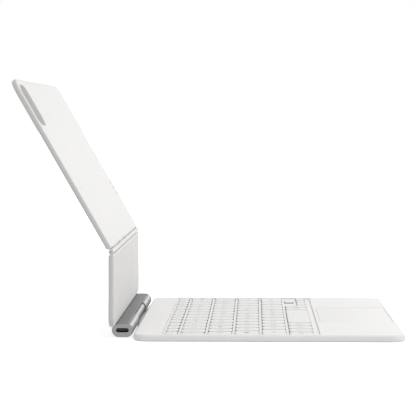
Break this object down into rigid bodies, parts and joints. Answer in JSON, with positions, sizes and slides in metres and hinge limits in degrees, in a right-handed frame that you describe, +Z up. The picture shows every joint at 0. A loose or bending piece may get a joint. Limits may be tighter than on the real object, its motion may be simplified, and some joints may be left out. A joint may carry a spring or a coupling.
{
  "type": "tablet keyboard case",
  "caption": "White tablet keyboard case: thin deck with keyboard and trackpad, aluminium hinge barrel with a charging port, and a folding magnetic back in two panels.",
  "frame": {"origin": "centre of the deck's underside, on the table", "axes": "+X to the user's right, +Y towards the hinge and the back, +Z up"},
  "size_m": [0.248, 0.2603, 0.1725],
  "materials": {
    "deck_cover": "matt",
    "key_cap": "satin",
    "panel_outer": "matt",
    "panel_inner": "matt",
    "crease": "matt",
    "panel_core": "matt",
    "frame_steel": "satin",
    "hinge_steel": "satin",
    "barrel_metal": "satin, anodised",
    "housing_metal": "matt",
    "dark_plastic": "matt",
    "port_metal": "polished",
    "tongue_plastic": "matt",
    "pad_glass": "satin",
    "circuit_board": "satin",
    "light_film": "matt",
    "switch_film": "matt",
    "dome_rubber": "matt",
    "link_plastic": "satin",
    "magnet": "nickel plated",
    "contact_frame": "matt",
    "contact_gold": "polished",
    "cable_film": "satin"
  },
  "bodies": {
    "base": {"base_bottom_cover": "deck_cover", "base_top_cover": "deck_cover", "base_frame": "frame_steel", "light_sheet": "light_film", "switch_sheet": "switch_film", "key_domes": "dome_rubber", "key_links": "link_plastic", "key_web": "deck_cover", "trackpad_springs": "frame_steel", "click_switch": "dark_plastic", "deck_magnets": "magnet", "control_board": "circuit_board", "hinge_leaf": "hinge_steel", "leaf_screws": "hinge_steel", "hinge_knuckle": "barrel_metal", "hinge_shafts": "hinge_steel"},
    "stand": {"barrel_tube": "barrel_metal", "barrel_cap_left": "barrel_metal", "barrel_cap_right": "barrel_metal", "hinge_housings": "housing_metal", "friction_clips": "hinge_steel", "port_shell": "port_metal", "port_tongue": "tongue_plastic", "port_holder": "dark_plastic", "barrel_seal": "dark_plastic", "lower_outer_skin": "panel_outer", "lower_core": "panel_core", "lower_inner_skin": "panel_inner", "crease_leaf_lower": "crease", "crease_pin": "hinge_steel", "cable_lower": "cable_film"},
    "back": {"crease_leaf_upper": "crease", "upper_outer_skin": "panel_outer", "upper_core": "panel_core", "upper_inner_skin": "panel_inner", "upper_magnets": "magnet", "contact_pad": "contact_frame", "cable_upper": "cable_film"},
    "trackpad": {"trackpad_glass": "pad_glass", "trackpad_board": "circuit_board"},
    "contacts": {"contact_pins": "contact_gold"},
    "key_escape_body": {"key_escape": "key_cap"},
    "keys_function_body": {"keys_function": "key_cap"},
    "keys_digits_body": {"keys_digits": "key_cap"},
    "key_delete_body": {"key_delete": "key_cap"},
    "key_tab_body": {"key_tab": "key_cap"},
    "keys_upper_letters_body": {"keys_upper_letters": "key_cap"},
    "key_caps_lock_body": {"key_caps_lock": "key_cap"},
    "keys_home_letters_body": {"keys_home_letters": "key_cap"},
    "key_return_body": {"key_return": "key_cap"},
    "key_shift_left_body": {"key_shift_left": "key_cap"},
    "keys_lower_letters_body": {"keys_lower_letters": "key_cap"},
    "key_shift_right_body": {"key_shift_right": "key_cap"},
    "keys_modifiers_left_body": {"keys_modifiers_left": "key_cap"},
    "key_space_body": {"key_space": "key_cap"},
    "keys_modifiers_right_body": {"keys_modifiers_right": "key_cap"},
    "key_arrow_left_body": {"key_arrow_left": "key_cap"},
    "key_arrow_up_body": {"key_arrow_up": "key_cap"},
    "key_arrow_down_body": {"key_arrow_down": "key_cap"},
    "key_arrow_right_body": {"key_arrow_right": "key_cap"}
  },
  "joints": [
    {"name": "barrel_hinge", "type": "hinge", "parent": "base", "child": "stand", "pos_m": [0, 0.09575, 0.00505], "axis": [1, 0, 0], "range_deg": [0, 90]},
    {"name": "crease_hinge", "type": "hinge", "parent": "stand", "child": "back", "pos_m": [0, 0.1041, 0.0589], "axis": [1, 0, 0], "range_deg": [-10, 29.9]},
    {"name": "trackpad_click", "type": "slide", "parent": "base", "child": "trackpad", "axis": [0, 0, -1], "range_m": [0, 0.0003], "stiffness_N_per_m": 2500, "springref_m": -0.0001, "deforming": ["trackpad_springs"]},
    {"name": "contact_push", "type": "slide", "parent": "back", "child": "contacts", "axis": [0, 0.8669, -0.4985], "range_m": [0, 0.0003], "stiffness_N_per_m": 1500, "springref_m": -0.0001},
    {"name": "key_escape_press", "type": "slide", "parent": "base", "child": "key_escape_body", "axis": [0, 0, -1], "range_m": [0, 0.001], "stiffness_N_per_m": 600, "springref_m": -0.0004, "deforming": ["key_domes", "key_links"]},
    {"name": "keys_function_press", "type": "slide", "parent": "base", "child": "keys_function_body", "axis": [0, 0, -1], "range_m": [0, 0.001], "stiffness_N_per_m": 600, "springref_m": -0.0004, "deforming": ["key_domes", "key_links"]},
    {"name": "keys_digits_press", "type": "slide", "parent": "base", "child": "keys_digits_body", "axis": [0, 0, -1], "range_m": [0, 0.001], "stiffness_N_per_m": 600, "springref_m": -0.0004, "deforming": ["key_domes", "key_links"]},
    {"name": "key_delete_press", "type": "slide", "parent": "base", "child": "key_delete_body", "axis": [0, 0, -1], "range_m": [0, 0.001], "stiffness_N_per_m": 600, "springref_m": -0.0004, "deforming": ["key_domes", "key_links"]},
    {"name": "key_tab_press", "type": "slide", "parent": "base", "child": "key_tab_body", "axis": [0, 0, -1], "range_m": [0, 0.001], "stiffness_N_per_m": 600, "springref_m": -0.0004, "deforming": ["key_domes", "key_links"]},
    {"name": "keys_upper_letters_press", "type": "slide", "parent": "base", "child": "keys_upper_letters_body", "axis": [0, 0, -1], "range_m": [0, 0.001], "stiffness_N_per_m": 600, "springref_m": -0.0004, "deforming": ["key_domes", "key_links"]},
    {"name": "key_caps_lock_press", "type": "slide", "parent": "base", "child": "key_caps_lock_body", "axis": [0, 0, -1], "range_m": [0, 0.001], "stiffness_N_per_m": 600, "springref_m": -0.0004, "deforming": ["key_domes", "key_links"]},
    {"name": "keys_home_letters_press", "type": "slide", "parent": "base", "child": "keys_home_letters_body", "axis": [0, 0, -1], "range_m": [0, 0.001], "stiffness_N_per_m": 600, "springref_m": -0.0004, "deforming": ["key_domes", "key_links"]},
    {"name": "key_return_press", "type": "slide", "parent": "base", "child": "key_return_body", "axis": [0, 0, -1], "range_m": [0, 0.001], "stiffness_N_per_m": 600, "springref_m": -0.0004, "deforming": ["key_domes", "key_links"]},
    {"name": "key_shift_left_press", "type": "slide", "parent": "base", "child": "key_shift_left_body", "axis": [0, 0, -1], "range_m": [0, 0.001], "stiffness_N_per_m": 600, "springref_m": -0.0004, "deforming": ["key_domes", "key_links"]},
    {"name": "keys_lower_letters_press", "type": "slide", "parent": "base", "child": "keys_lower_letters_body", "axis": [0, 0, -1], "range_m": [0, 0.001], "stiffness_N_per_m": 600, "springref_m": -0.0004, "deforming": ["key_domes", "key_links"]},
    {"name": "key_shift_right_press", "type": "slide", "parent": "base", "child": "key_shift_right_body", "axis": [0, 0, -1], "range_m": [0, 0.001], "stiffness_N_per_m": 600, "springref_m": -0.0004, "deforming": ["key_domes", "key_links"]},
    {"name": "keys_modifiers_left_press", "type": "slide", "parent": "base", "child": "keys_modifiers_left_body", "axis": [0, 0, -1], "range_m": [0, 0.001], "stiffness_N_per_m": 600, "springref_m": -0.0004, "deforming": ["key_domes", "key_links"]},
    {"name": "key_space_press", "type": "slide", "parent": "base", "child": "key_space_body", "axis": [0, 0, -1], "range_m": [0, 0.001], "stiffness_N_per_m": 600, "springref_m": -0.0004, "deforming": ["key_domes", "key_links"]},
    {"name": "keys_modifiers_right_press", "type": "slide", "parent": "base", "child": "keys_modifiers_right_body", "axis": [0, 0, -1], "range_m": [0, 0.001], "stiffness_N_per_m": 600, "springref_m": -0.0004, "deforming": ["key_domes", "key_links"]},
    {"name": "key_arrow_left_press", "type": "slide", "parent": "base", "child": "key_arrow_left_body", "axis": [0, 0, -1], "range_m": [0, 0.001], "stiffness_N_per_m": 600, "springref_m": -0.0004, "deforming": ["key_domes", "key_links"]},
    {"name": "key_arrow_up_press", "type": "slide", "parent": "base", "child": "key_arrow_up_body", "axis": [0, 0, -1], "range_m": [0, 0.001], "stiffness_N_per_m": 600, "springref_m": -0.0004, "deforming": ["key_domes", "key_links"]},
    {"name": "key_arrow_down_press", "type": "slide", "parent": "base", "child": "key_arrow_down_body", "axis": [0, 0, -1], "range_m": [0, 0.001], "stiffness_N_per_m": 600, "springref_m": -0.0004, "deforming": ["key_domes", "key_links"]},
    {"name": "key_arrow_right_press", "type": "slide", "parent": "base", "child": "key_arrow_right_body", "axis": [0, 0, -1], "range_m": [0, 0.001], "stiffness_N_per_m": 600, "springref_m": -0.0004, "deforming": ["key_domes", "key_links"]}
  ]
}
